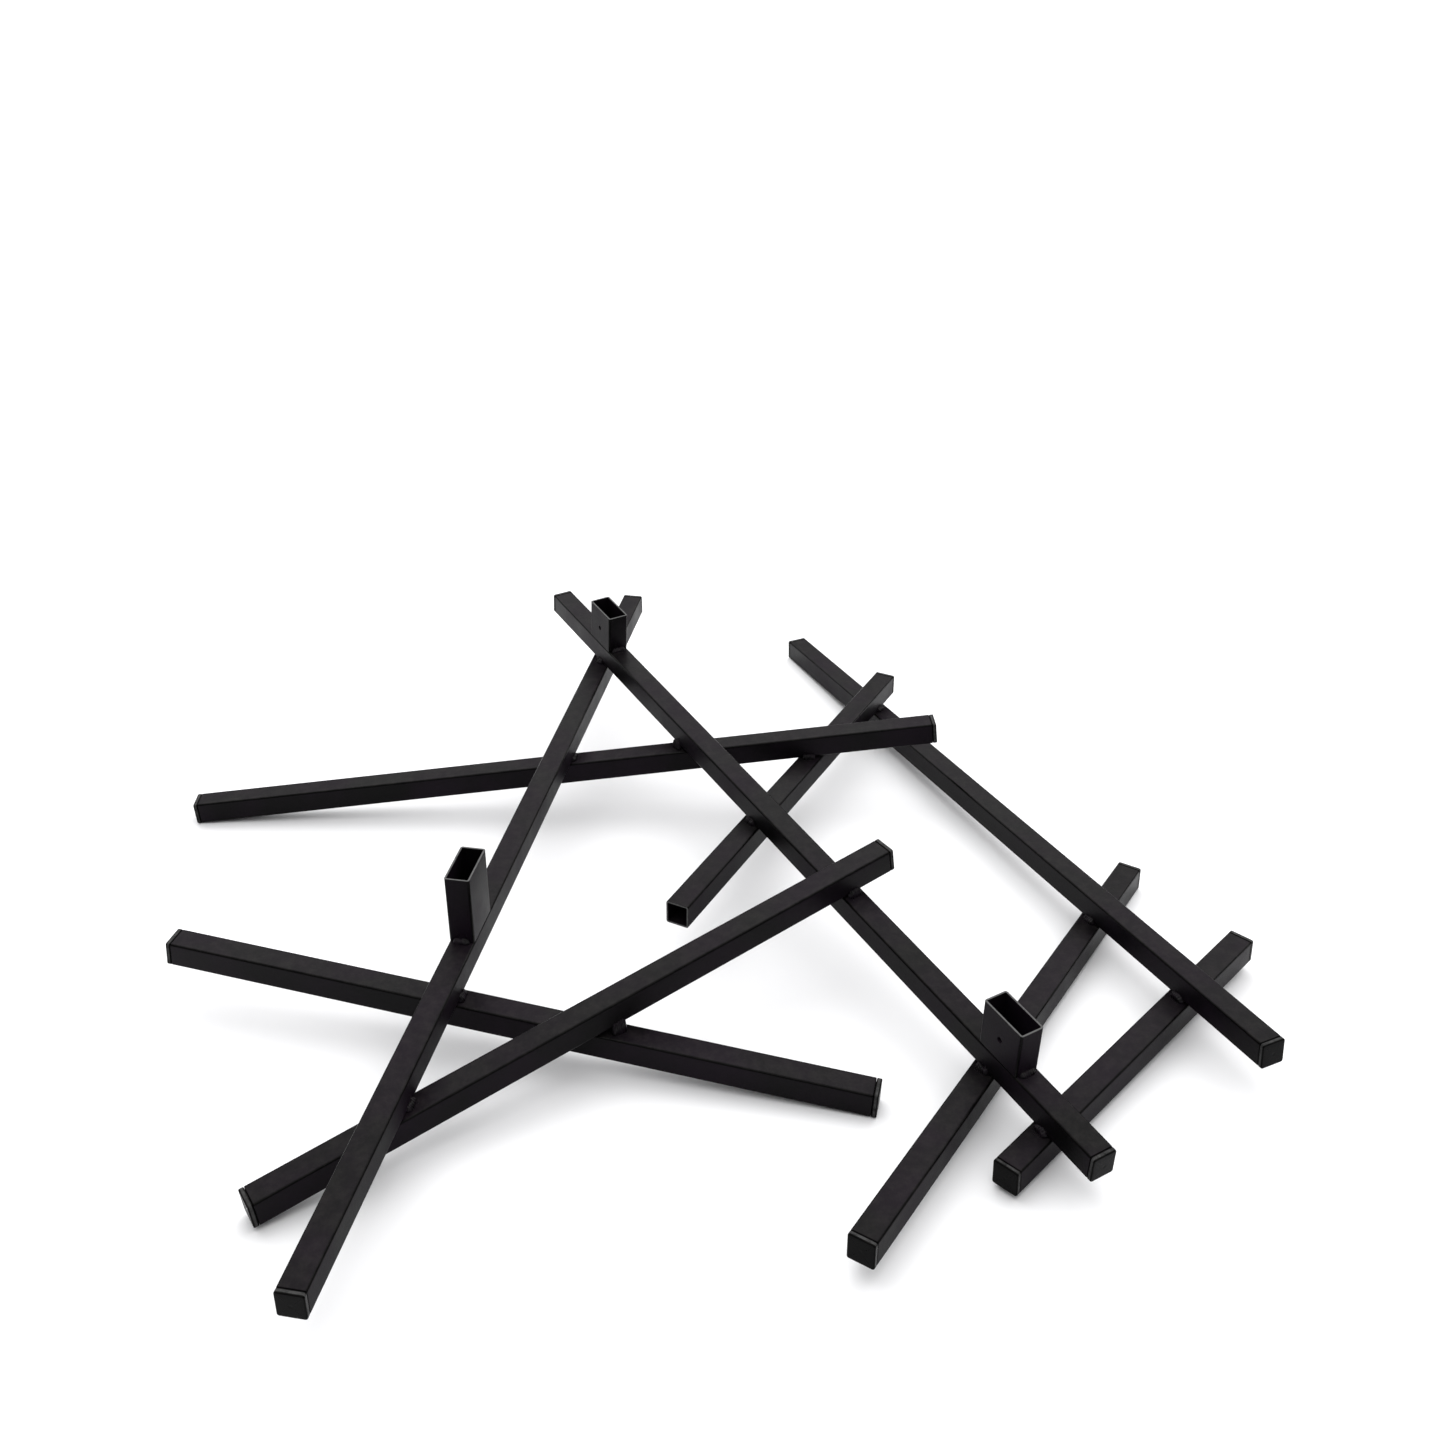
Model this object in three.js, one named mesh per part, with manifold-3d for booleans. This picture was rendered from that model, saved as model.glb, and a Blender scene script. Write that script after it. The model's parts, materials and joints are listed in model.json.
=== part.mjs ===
// Base of a firewood log rack: nine square steel tubes laid across one another like dropped
// sticks, welded where they touch, capped at their ends, with three short sockets for uprights.
// Millimetres, +Z up, the floor is Z = 0 and the origin is under the middle of the base.

import * as THREE from 'three';
import { mergeVertices } from 'three/addons/utils/BufferGeometryUtils.js';
import Module from 'manifold-3d';

const wasm = await Module();
wasm.setup();

// ---------------------------------------------------------------- driving dimensions

const TUBE_SIZE = 25; // outside of the square tube
const TUBE_WALL = 2;
const TUBE_CORNER = 2.3; // outside corner radius of the tube
const TOUCH_GAP = 0.3; // kept between pieces that touch

const CAP_FLANGE = 5; // part of an end cap that shows past the tube
const CAP_EDGE = 0.6; // rounding of the flange's edges
const CAP_PLUG = 14; // part of an end cap inside the tube
const CAP_WALL = 1.6;
const CAP_RIBS = 2;
const CAP_RIB_WIDTH = 1.5;
const CAP_RIB_HEIGHT = 0.8; // how far a rib stands off the plug
const CAP_FIT = 0.3; // clearance between a rib and the bore of the tube

const SOCKET_LENGTH = 51; // outside, along the tube that it stands on
const SOCKET_WALL = 2;
const SOCKET_CORNER = 2.5;
const SOCKET_HEIGHT = 47; // on the top tube; a socket one tube lower is one tube taller
const SCREW_HOLE = 5.5;
const SCREW_HEIGHT = 22; // middle of the screw hole above the socket's foot

const WELD_LEG = 4.2; // size of a weld bead's cross-section
const CROSSING_WELD = 15; // length of the bead at a crossing
const SOCKET_WELD = 17; // length of the bead at a socket's foot
const WELD_PITCH = 3.4; // distance between the ripples of a bead

// Where each tube lies, seen from above: the middle of its length, the direction from its start
// to its end in degrees from +X, and the length that the steel is cut to. "caps" names the ends
// that carry a cap, -1 for the start and 1 for the end.
const TUBES = {
  spine: { middle: [96.5, 37.8], heading: -59.72, length: 1020, caps: { rear: -1, front: 1 } },
  left: { middle: [-175.5, -8.1], heading: -100.74, length: 1094, caps: { rear: -1, front: 1 } },
  rear: { middle: [-135.1, 184.5], heading: 2.34, length: 846, caps: { left: -1, right: 1 } },
  low: { middle: [-154.3, -218.6], heading: -13.41, length: 682, caps: { left: -1, right: 1 } },
  front: { middle: [-70.4, -239.9], heading: 33.21, length: 662, caps: { left: -1, right: 1 } },
  right: { middle: [339.1, 129.6], heading: -65.59, length: 914, caps: { rear: -1, front: 1 } },
  inner: { middle: [124.5, 145.3], heading: -117.6, length: 545, caps: { rear: -1 } },
  prop: { middle: [315, -227.1], heading: -122.99, length: 600, caps: { rear: -1, front: 1 } },
  short: { middle: [418.9, -249.6], heading: -134.1, length: 398, caps: { rear: -1, front: 1 } },
};

// Every place where one tube rests on another, upper tube first.
const CROSSINGS = [
  ['spine', 'left'],
  ['spine', 'rear'],
  ['spine', 'inner'],
  ['spine', 'prop'],
  ['spine', 'short'],
  ['left', 'rear'],
  ['left', 'low'],
  ['left', 'front'],
  ['front', 'spine'],
  ['front', 'low'],
  ['rear', 'inner'],
  ['inner', 'right'],
  ['right', 'prop'],
  ['right', 'short'],
];

// The tube ends that stand on the floor.
const FEET = [
  ['rear', 'left'],
  ['right', 'rear'],
  ['prop', 'rear'],
  ['low', 'right'],
];

// Sockets: the tube that each stands on, how far its middle is from the middle of that tube
// (positive towards the tube's end), how many tubes deeper than the highest its tube lies, and
// the side of the screw hole.
const SOCKETS = {
  rear: { tube: 'spine', offset: -381.3, deeper: 0, holeFaces: 'front' },
  left: { tube: 'left', offset: 131.7, deeper: 1, holeFaces: 'back' },
  front: { tube: 'spine', offset: 389.7, deeper: 0, holeFaces: 'front' },
};

const ARC_STEPS = 3; // flats in each quarter-round corner that shows
const HIDDEN_ARC_STEPS = 1; // and in each one that doesn't
const HOLE_STEPS = 20; // flats around a screw hole
const BLOB_STEPS = [8, 6]; // flats around and along one ripple of a weld
const SETTLE_PASSES = 12;
const CUTTER = 80; // size of the blocks that trim a weld, well over any weld

// ---------------------------------------------------------------- finishes

const blackCoat = () => new THREE.MeshStandardMaterial({ color: 0x2b292d, roughness: 0.55, metalness: 0.3 });
const blackPlastic = () => new THREE.MeshStandardMaterial({ color: 0x1d1d1f, roughness: 0.6, metalness: 0 });

// ---------------------------------------------------------------- solids

function solidOf(geometry, matrix = new THREE.Matrix4()) {
  const bare = geometry.clone().applyMatrix4(matrix);
  bare.deleteAttribute('normal');
  bare.deleteAttribute('uv');
  const merged = mergeVertices(bare, 1e-4);
  return new wasm.Manifold(
    new wasm.Mesh({
      numProp: 3,
      vertProperties: merged.getAttribute('position').array,
      triVerts: new Uint32Array(merged.index.array),
    }),
  );
}

function geometryOf(solid) {
  const mesh = solid.getMesh();
  const geometry = new THREE.BufferGeometry();
  geometry.setAttribute('position', new THREE.BufferAttribute(mesh.vertProperties, 3));
  geometry.setIndex(new THREE.BufferAttribute(mesh.triVerts, 1));
  const faceted = geometry.toNonIndexed();
  faceted.computeVertexNormals();
  return faceted;
}

function named(name, geometry, material) {
  const mesh = new THREE.Mesh(geometry, material);
  mesh.name = name;
  return mesh;
}

// A rectangle with round corners, drawn into a shape or into a hole's path.
function roundedRectangle(path, width, height, corner) {
  const signs = [[1, 1], [-1, 1], [-1, -1], [1, -1]];
  signs.forEach(([right, up], turn) => {
    const x = right * (width / 2 - corner);
    const y = up * (height / 2 - corner);
    path.absarc(x, y, corner, (turn * Math.PI) / 2, ((turn + 1) * Math.PI) / 2);
  });
  path.closePath();
  return path;
}

// A straight length of rectangular tube, open at both ends, along Z and centred on the origin.
function tubeGeometry(width, height, wall, corner, length, arcSteps = ARC_STEPS) {
  const section = roundedRectangle(new THREE.Shape(), width, height, corner);
  const innerCorner = Math.max(corner - wall, wall / 4);
  const bore = roundedRectangle(new THREE.Path(), width - 2 * wall, height - 2 * wall, innerCorner);
  section.holes.push(bore);
  const options = { depth: length, bevelEnabled: false, curveSegments: arcSteps };
  const geometry = new THREE.ExtrudeGeometry(section, options);
  return geometry.translate(0, 0, -length / 2);
}

// A pressed-in end cap: a flange as large as the tube and a hollow ribbed plug behind it.
// Z = 0 is the tube's cut end and +Z points out of the tube.
function capGeometry() {
  const flat = TUBE_SIZE - 2 * CAP_EDGE;
  const face = roundedRectangle(new THREE.Shape(), flat, flat, TUBE_CORNER - CAP_EDGE);
  const flange = new THREE.ExtrudeGeometry(face, {
    depth: CAP_FLANGE - 2 * CAP_EDGE,
    bevelSize: CAP_EDGE,
    bevelThickness: CAP_EDGE,
    bevelSegments: 1,
    curveSegments: ARC_STEPS,
  });
  flange.translate(0, 0, TOUCH_GAP + CAP_EDGE);

  const ribSize = TUBE_SIZE - 2 * TUBE_WALL - 2 * CAP_FIT;
  const plugSize = ribSize - 2 * CAP_RIB_HEIGHT;
  const plugTop = TOUCH_GAP + CAP_EDGE;
  const plugLength = CAP_PLUG + plugTop;
  const plug = tubeGeometry(plugSize, plugSize, CAP_WALL, CAP_WALL, plugLength, HIDDEN_ARC_STEPS);
  plug.translate(0, 0, plugTop - plugLength / 2);
  let cap = solidOf(flange).add(solidOf(plug));

  const ribPitch = CAP_PLUG / CAP_RIBS;
  for (let rib = 0; rib < CAP_RIBS; rib += 1) {
    const ringWall = CAP_RIB_HEIGHT + CAP_WALL / 2;
    const ring = tubeGeometry(ribSize, ribSize, ringWall, CAP_WALL, CAP_RIB_WIDTH, HIDDEN_ARC_STEPS);
    ring.translate(0, 0, -ribPitch * (rib + 0.5));
    cap = cap.add(solidOf(ring));
  }
  return geometryOf(cap);
}

// A socket along Z with its foot at Z = 0, and a screw hole in the long wall on the side of
// holeSide (+1 or -1 along X).
function socketGeometry(height, holeSide) {
  const tube = tubeGeometry(TUBE_SIZE, SOCKET_LENGTH, SOCKET_WALL, SOCKET_CORNER, height);
  tube.translate(0, 0, height / 2);
  const drillLength = 4 * SOCKET_WALL;
  const drill = new THREE.CylinderGeometry(SCREW_HOLE / 2, SCREW_HOLE / 2, drillLength, HOLE_STEPS);
  drill.rotateZ(Math.PI / 2);
  drill.translate((holeSide * (TUBE_SIZE - SOCKET_WALL)) / 2, 0, SCREW_HEIGHT);
  return geometryOf(solidOf(tube).subtract(solidOf(drill)));
}

// A weld bead along Z, as a row of overlapping ripples that are taller by the gap they bridge.
function beadSolid(length, gap = 0) {
  const spaces = Math.round((length - 2 * WELD_LEG) / WELD_PITCH);
  const pitch = (length - 2 * WELD_LEG) / spaces;
  let bead = null;
  for (let ripple = 0; ripple <= spaces; ripple += 1) {
    const blob = new THREE.SphereGeometry(WELD_LEG, ...BLOB_STEPS);
    blob.scale(1, 1 + gap / WELD_LEG, 1);
    blob.translate(0, 0, (ripple - spaces / 2) * pitch);
    bead = bead ? bead.add(solidOf(blob)) : solidOf(blob);
  }
  return bead;
}

// A block that fills the half-space under Y = top, around the origin.
function blockBelow(top) {
  return new THREE.BoxGeometry(CUTTER, CUTTER, CUTTER).translate(0, top - CUTTER / 2, 0);
}

// ---------------------------------------------------------------- how the tubes lie

const HALF = TUBE_SIZE / 2;
const FLAT = HALF - TUBE_CORNER; // half the width of a tube's flat face

// The tubes in plan, with the height of each tube's middle and its slope still to be found.
const laid = {};
Object.entries(TUBES).forEach(([name, tube], index) => {
  const angle = THREE.MathUtils.degToRad(tube.heading);
  const along = new THREE.Vector2(Math.cos(angle), Math.sin(angle));
  const side = new THREE.Vector2(-along.y, along.x);
  const middle = new THREE.Vector2(...tube.middle);
  laid[name] = { ...tube, name, index, middle, along, side, height: 0, slope: 0 };
});

// +1 or -1: which way along the tube's own X axis its front face looks.
const frontSide = (tube) => (tube.side.y < 0 ? 1 : -1);

// How far a tube's end reaches from its middle, with the cap if it has one.
function reach(tube, direction) {
  const capped = Object.values(tube.caps).includes(direction);
  return tube.length / 2 + (capped ? TOUCH_GAP + CAP_FLANGE : 0);
}

// The point in plan where a line beside tube a meets a line beside tube b.
function meet(a, aOffset, b, bOffset) {
  const start = a.middle.clone().addScaledVector(a.side, aOffset);
  const travel = (bOffset - start.clone().sub(b.middle).dot(b.side)) / a.along.dot(b.side);
  return start.addScaledVector(a.along, travel);
}

// Height of the plane of a tube's top (face = 1) or underside (face = -1) over a plan point.
function faceHeight(tube, point, face) {
  const along = point.clone().sub(tube.middle).dot(tube.along);
  return tube.height + tube.slope * along + face * HALF * Math.hypot(1, tube.slope);
}

// The corner of a crossing's flat faces where the upper tube comes closest to the lower one.
function closestCorner(upper, lower) {
  const corners = [];
  for (const a of [-FLAT, FLAT]) {
    for (const b of [-FLAT, FLAT]) {
      corners.push(meet(upper, a, lower, b));
    }
  }
  const gap = (corner) => faceHeight(upper, corner, -1) - faceHeight(lower, corner, 1);
  return corners.reduce((best, corner) => (gap(corner) < gap(best) ? corner : best));
}

// One equation of the layout: the heights and slopes of the tubes times these numbers, with
// the right-hand side last.
const emptyRow = () => new Array(2 * Object.keys(laid).length + 1).fill(0);

// The upper tube rests on the lower one.
function contactRow(upper, lower) {
  const corner = closestCorner(upper, lower);
  const row = emptyRow();
  for (const [tube, sign] of [[upper, 1], [lower, -1]]) {
    row[2 * tube.index] = sign;
    row[2 * tube.index + 1] = sign * corner.clone().sub(tube.middle).dot(tube.along);
  }
  const halves = HALF * (Math.hypot(1, upper.slope) + Math.hypot(1, lower.slope));
  row[row.length - 1] = TOUCH_GAP + halves;
  return row;
}

// The lowest edge of a tube's end stands on the floor.
function footRow(tube, end) {
  const direction = tube.caps[end];
  const level = 1 / Math.hypot(1, tube.slope);
  const row = emptyRow();
  row[2 * tube.index] = 1;
  row[2 * tube.index + 1] = direction * reach(tube, direction) * level;
  row[row.length - 1] = HALF * level;
  return row;
}

// Gaussian elimination with row exchange.
function solveRows(rows) {
  const count = rows.length;
  for (let column = 0; column < count; column += 1) {
    const rest = rows.slice(column);
    const best = rest.reduce((a, b) => (Math.abs(b[column]) > Math.abs(a[column]) ? b : a));
    rows.splice(rows.indexOf(best), 1);
    rows.splice(column, 0, best);
    for (const row of rows) {
      if (row === best) continue;
      const factor = row[column] / best[column];
      row.forEach((value, index) => {
        row[index] = value - factor * best[index];
      });
    }
  }
  return rows.map((row, index) => row[count] / row[index]);
}

// Which corner of a crossing touches depends on the slopes, so the heights are found in passes.
for (let pass = 0; pass < SETTLE_PASSES; pass += 1) {
  const contacts = CROSSINGS.map(([upper, lower]) => contactRow(laid[upper], laid[lower]));
  const feet = FEET.map(([name, end]) => footRow(laid[name], end));
  const found = solveRows([...contacts, ...feet]);
  for (const tube of Object.values(laid)) {
    tube.height = found[2 * tube.index];
    tube.slope = found[2 * tube.index + 1];
  }
}

// ---------------------------------------------------------------- the assembly

const rack = new THREE.Group();

// Each tube has a group at the middle of its steel: X across it and level, Y up out of its top
// face, Z along it from its start to its end.
for (const tube of Object.values(laid)) {
  const along = new THREE.Vector3(tube.along.x, tube.along.y, tube.slope).normalize();
  const side = new THREE.Vector3(tube.side.x, tube.side.y, 0);
  const up = new THREE.Vector3().crossVectors(along, side);
  const group = new THREE.Group();
  group.quaternion.setFromRotationMatrix(new THREE.Matrix4().makeBasis(side, up, along));
  group.position.set(tube.middle.x, tube.middle.y, tube.height);
  rack.add(group);
  tube.group = group;

  const steel = tubeGeometry(TUBE_SIZE, TUBE_SIZE, TUBE_WALL, TUBE_CORNER, tube.length);
  group.add(named(`${tube.name}_tube`, steel, blackCoat()));

  for (const [end, direction] of Object.entries(tube.caps)) {
    const cap = named(`${tube.name}_tube_${end}_cap`, capGeometry(), blackPlastic());
    cap.position.z = (direction * tube.length) / 2;
    cap.rotation.y = direction > 0 ? 0 : Math.PI;
    group.add(cap);
  }
}
rack.updateMatrixWorld(true);

// The sockets stand square on their tubes, with a bead across the foot of each short wall.
for (const [name, socket] of Object.entries(SOCKETS)) {
  const tube = laid[socket.tube];
  const height = SOCKET_HEIGHT + socket.deeper * TUBE_SIZE;
  const holeSide = frontSide(tube) * (socket.holeFaces === 'front' ? 1 : -1);
  const place = new THREE.Group();
  place.position.set(0, HALF, socket.offset);
  tube.group.add(place);

  const body = named(`${name}_socket`, socketGeometry(height, holeSide), blackCoat());
  body.position.y = TOUCH_GAP;
  body.rotation.x = -Math.PI / 2;
  place.add(body);

  for (const [label, direction] of [['back', -1], ['front', 1]]) {
    const wall = (direction * SOCKET_LENGTH) / 2;
    const across = new THREE.Matrix4().makeRotationY(Math.PI / 2);
    const underSocket = new THREE.Matrix4().makeRotationX((direction * Math.PI) / 2);
    const bead = beadSolid(SOCKET_WELD).transform(across.elements);
    const trimmed = bead
      .subtract(solidOf(blockBelow(TOUCH_GAP)))
      .subtract(solidOf(blockBelow(TOUCH_GAP), underSocket));
    const weld = named(`${name}_socket_${label}_weld`, geometryOf(trimmed), blackCoat());
    weld.position.z = wall;
    place.add(weld);
  }
}

// At each crossing a bead runs along the foot of the upper tube's front face.
for (const [upperName, lowerName] of CROSSINGS) {
  const upper = laid[upperName];
  const lower = laid[lowerName];
  const outward = frontSide(upper);
  const foot = meet(upper, outward * HALF, lower, 0);
  const gap = faceHeight(upper, foot, -1) - faceHeight(lower, foot, 1);
  const onLower = new THREE.Vector3(foot.x, foot.y, faceHeight(lower, foot, 1));
  const place = upper.group.worldToLocal(onLower.clone());

  const insideUpper = new THREE.Matrix4().makeRotationZ((-outward * Math.PI) / 2);
  const toBead = new THREE.Matrix4().makeTranslation(place).invert();
  const lowerBlock = new THREE.Matrix4().makeTranslation(lower.group.worldToLocal(onLower.clone()));
  const insideLower = toBead.multiply(upper.group.matrixWorld.clone().invert());
  insideLower.multiply(lower.group.matrixWorld).multiply(lowerBlock);
  const trimmed = beadSolid(CROSSING_WELD, gap)
    .subtract(solidOf(blockBelow(TOUCH_GAP), insideUpper))
    .subtract(solidOf(blockBelow(TOUCH_GAP), insideLower));
  const weld = named(`weld_${upperName}_on_${lowerName}`, geometryOf(trimmed), blackCoat());
  weld.position.copy(place);
  upper.group.add(weld);
}

// The whole base stands on Z = 0 with the middle of its outline over the origin.
rack.updateMatrixWorld(true);
const outline = new THREE.Box3().setFromObject(rack, true);
const centre = outline.getCenter(new THREE.Vector3());
rack.position.set(-centre.x, -centre.y, -outline.min.z);

export default rack;
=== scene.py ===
import json
import math

import bmesh
import bpy
import numpy as np
from mathutils import Matrix, Vector


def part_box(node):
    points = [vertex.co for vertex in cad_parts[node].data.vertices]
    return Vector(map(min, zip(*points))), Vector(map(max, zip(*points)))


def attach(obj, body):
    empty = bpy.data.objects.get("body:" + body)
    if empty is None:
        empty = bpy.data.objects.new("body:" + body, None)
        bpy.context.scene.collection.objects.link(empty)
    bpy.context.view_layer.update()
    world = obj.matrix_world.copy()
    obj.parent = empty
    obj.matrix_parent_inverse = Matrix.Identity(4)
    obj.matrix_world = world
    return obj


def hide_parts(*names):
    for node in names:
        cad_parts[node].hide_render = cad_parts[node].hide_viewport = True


# Looks of the base of a firewood log rack: square steel tubes under black powder coat, laid
# across one another and welded, with moulded end caps and short sockets for uprights.
# Metres, +Z up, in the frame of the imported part.

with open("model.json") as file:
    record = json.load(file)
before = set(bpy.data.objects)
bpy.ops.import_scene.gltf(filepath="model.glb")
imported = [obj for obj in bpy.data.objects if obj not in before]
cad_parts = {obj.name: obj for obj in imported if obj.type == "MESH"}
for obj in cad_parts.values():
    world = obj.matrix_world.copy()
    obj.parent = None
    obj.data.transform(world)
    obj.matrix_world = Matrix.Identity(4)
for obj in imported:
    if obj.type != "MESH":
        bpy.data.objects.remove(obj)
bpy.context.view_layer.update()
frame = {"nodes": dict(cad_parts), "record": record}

MM = 0.001

# ------------------------------------------------------------------ sizes

TUBE_WALL = 2 * MM
TUBE_CORNER = 2.3 * MM  # outside corner radius of the square tube
SOCKET_WALL = 2 * MM
SOCKET_CORNER = 2.5 * MM
LEAST_BORE_CORNER = 0.6 * MM
CUT_EDGE = 0.35 * MM  # rounding of a sawn and deburred end that stays open
CAPPED_EDGE = 0.7 * MM  # rounding of an end that takes a cap
SEAM_HEIGHT = 0.35 * MM  # the raised seam inside a welded tube
SEAM_WIDTH = 2.4 * MM
# Across the seam, in shares of half its width and of its height.
SEAM_PROFILE = [(-1, 0), (-0.5, 0.6), (0, 1), (0.5, 0.6), (1, 0)]

SCREW_HOLE = 5.5 * MM
SCREW_HEIGHT = 22 * MM  # middle of the hole above the socket's foot

TOUCH_GAP = 0.3 * MM  # between pieces that touch
CAP_FLANGE = 5 * MM
CAP_SEAM = 1.0 * MM  # rounding of the flange where it meets the tube
CAP_NOSE = 1.1 * MM  # rounding of the flange's outer edge
CAP_CROWN = 0.12 * MM  # how far the middle of the end face stands proud of its edge
CAP_LEAST_CORNER = 0.7 * MM
CAP_PLUG = 14 * MM
CAP_WALL = 1.6 * MM
CAP_RIBS = 2
CAP_RIB_WIDTH = 1.5 * MM
CAP_RIB_HEIGHT = 0.8 * MM
CAP_FIT = 0.3 * MM  # play of the ribs in the tube
CAP_TOP = TOUCH_GAP + CAP_FLANGE  # middle of the end face above the tube's cut end
GATE_RADIUS = 1.8 * MM  # the moulding mark in the middle of the end face
GATE_DEPTH = 0.06 * MM

WELD_LEG = 4.2 * MM
CROSSING_WELD = 15 * MM
SOCKET_WELD = 17 * MM
WELD_PITCH = 2.3 * MM  # from ripple to ripple
WELD_SINK = 0.9 * MM  # how far a bead reaches into the face behind it
WELD_FOOT = 0.3 * MM  # and into the face below it
WELD_BOW = 1.1  # how far, in ripples, the middle of a ripple runs ahead of its ends
WELD_MERGE = 0.004 * MM  # corners of a bead closer than this are one
SPATTER_SIZE = 0.45 * MM
SPATTER_SCALE = (0.45, 1.25)  # least and greatest drop, in shares of that size
SPATTER_ALONG = 6.5 * MM  # how far drops fly to either side of a bead's middle
SPATTER_OUT = (2.5 * MM, 7.5 * MM)  # and over the face below it
SPATTER_UP = 6 * MM  # and up the face behind it

SAME_PLANE = 0.001 * MM  # faces whose planes differ by less are in one plane

CORNER_STEPS = 7  # flats in a quarter-round corner
EDGE_STEPS = 3  # flats in a small rounded edge
SUPPORT = 0.8 * MM  # strip beside a corner that keeps the flat face flat
HOLE_STEPS = 32
RIB_CORNER_STEPS = 4
BEAD_STEPS = (40, 56)  # flats around and along a weld bead

# How thin the coat is, from 0 on the flats to 1 on a sharp rim. The same value also sets painted shade,
# a darker tone in the middle of rounded corners, and a lighter tone on rims and a cap flange's sides
# that is partly thinner coat and partly painted highlight.
CORNER_WEAR_AND_SHADE = 0.35
OPEN_RIM_WEAR_AND_HIGHLIGHT = 1.0
CAPPED_RIM_WEAR_AND_HIGHLIGHT = 0.2
# Scuffing and a painted sheen on a cap flange's sides.
SCUFF_AND_SHEEN = 0.85  # on the sides of a cap's flange
SCUFF_AND_SHEEN_EDGE = 0.3 * MM  # how soon the scuffing and painted sheen set in beside the flange's rounded edges


# ------------------------------------------------------------------ places from the frame

def points_of(node):
    """The different corners of a CAD node."""
    points = np.array([v.co for v in frame["nodes"][node].data.vertices], float)
    return np.unique(points.round(6), axis=0)


def lie_of(node):
    """Where a tube lies: X across it and level, Y up out of its top face, Z along it."""
    points = points_of(node)
    middle = points.mean(0)
    along = Vector(np.linalg.svd(points - middle)[2][0])
    side = Vector((0, 0, 1)).cross(along).normalized()
    up = along.cross(side)
    lie = Matrix((side, up, along)).transposed().to_4x4()
    lie.translation = Vector(middle)
    return lie


def span_of(node, lie):
    """Lowest and highest corner of a CAD node, seen from a lie."""
    local = [lie.inverted() @ Vector(p) for p in points_of(node)]
    low = Vector([min(p[i] for p in local) for i in range(3)])
    high = Vector([max(p[i] for p in local) for i in range(3)])
    return low, high


def axis_of(lie, index):
    return lie.to_3x3().col[index].normalized()


def end_of(cap, tube):
    """+1 for a cap at a tube's far end, -1 for one at its near end."""
    low, high = span_of(cap, tube["lie"])
    return 1 if low.z + high.z > 0 else -1


tubes = {}
for name in sorted(n for n in frame["nodes"] if n.endswith("_tube")):
    lie = lie_of(name)
    low, high = span_of(name, lie)
    tube = {"lie": lie, "size": high.x - low.x, "length": high.z - low.z, "caps": {}}
    for cap in sorted(n for n in frame["nodes"] if n.startswith(name) and n.endswith("_cap")):
        tube["caps"][end_of(cap, tube)] = cap
    tubes[name] = tube

mounts = {m["name"]: m for m in frame["record"]["mounts"]}


# ------------------------------------------------------------------ building blocks

def rounded_rectangle(width, height, corner, seam=0.0):
    """Points round a rectangle with round corners, anticlockwise, as (x, y, edge). Every ring
    has as many points, so that any two can be joined. The edge value is 1 in the middle of a
    corner and 0 on the flats. seam is the height of a ridge in the middle of the right face."""
    points = []
    for turn, (right, up) in enumerate([(1, 1), (-1, 1), (-1, -1), (1, -1)]):
        centre = Vector((right * (width / 2 - corner), up * (height / 2 - corner)))
        start = turn * math.pi / 2
        first = Vector((math.cos(start), math.sin(start)))
        last = Vector((-first.y, first.x))
        before = centre + first * corner - last * SUPPORT
        points.append((before.x, before.y, 0))
        for step in range(CORNER_STEPS + 1):
            share = step / CORNER_STEPS
            angle = start + share * math.pi / 2
            x = centre.x + corner * math.cos(angle)
            y = centre.y + corner * math.sin(angle)
            points.append((x, y, math.sin(share * math.pi)))
        after = centre + last * corner - first * SUPPORT
        points.append((after.x, after.y, 0))
    for place, rise in SEAM_PROFILE:
        points.append((width / 2 - seam * rise, place * SEAM_WIDTH / 2, 0))
    return points


def ring_points(width, height, corner, z, wear_and_painted_light=0.0, seam=0.0, corner_wear_and_shade=CORNER_WEAR_AND_SHADE):
    """One ring of a swept piece: points at height z with how thin the coat is on each; the same value
    places painted shade on corners and a painted highlight on rims.
    """
    outline = rounded_rectangle(width, height, corner, seam)
    return [(Vector((x, y, z)), max(e * corner_wear_and_shade, wear_and_painted_light)) for x, y, e in outline]


def skin(rings, closed=False, poles=None):
    """A mesh over a row of rings. closed joins the last ring to the first; poles are the
    points, one beyond each end, that close it otherwise."""
    mesh = bpy.data.meshes.new("skin")
    points = [point for ring in rings for point, _ in ring]
    edges = [edge for ring in rings for _, edge in ring]
    count = len(rings[0])
    faces = []
    pairs = len(rings) if closed else len(rings) - 1
    for row in range(pairs):
        a = row * count
        b = ((row + 1) % len(rings)) * count
        for i in range(count):
            j = (i + 1) % count
            faces.append((a + i, a + j, b + j, b + i))
    for end, pole in enumerate(poles or []):
        tip = len(points)
        points.append(pole)
        edges.append(0.0)
        start = end * (len(rings) - 1) * count
        for i in range(count):
            j = (i + 1) % count
            faces.append((start + j, start + i, tip) if end == 0 else (start + i, start + j, tip))
    mesh.from_pydata(points, [], faces)
    mesh.attributes.new("edge", "FLOAT", "POINT").data.foreach_set("value", edges)
    mesh.polygons.foreach_set("use_smooth", [True] * len(mesh.polygons))
    return mesh


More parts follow.
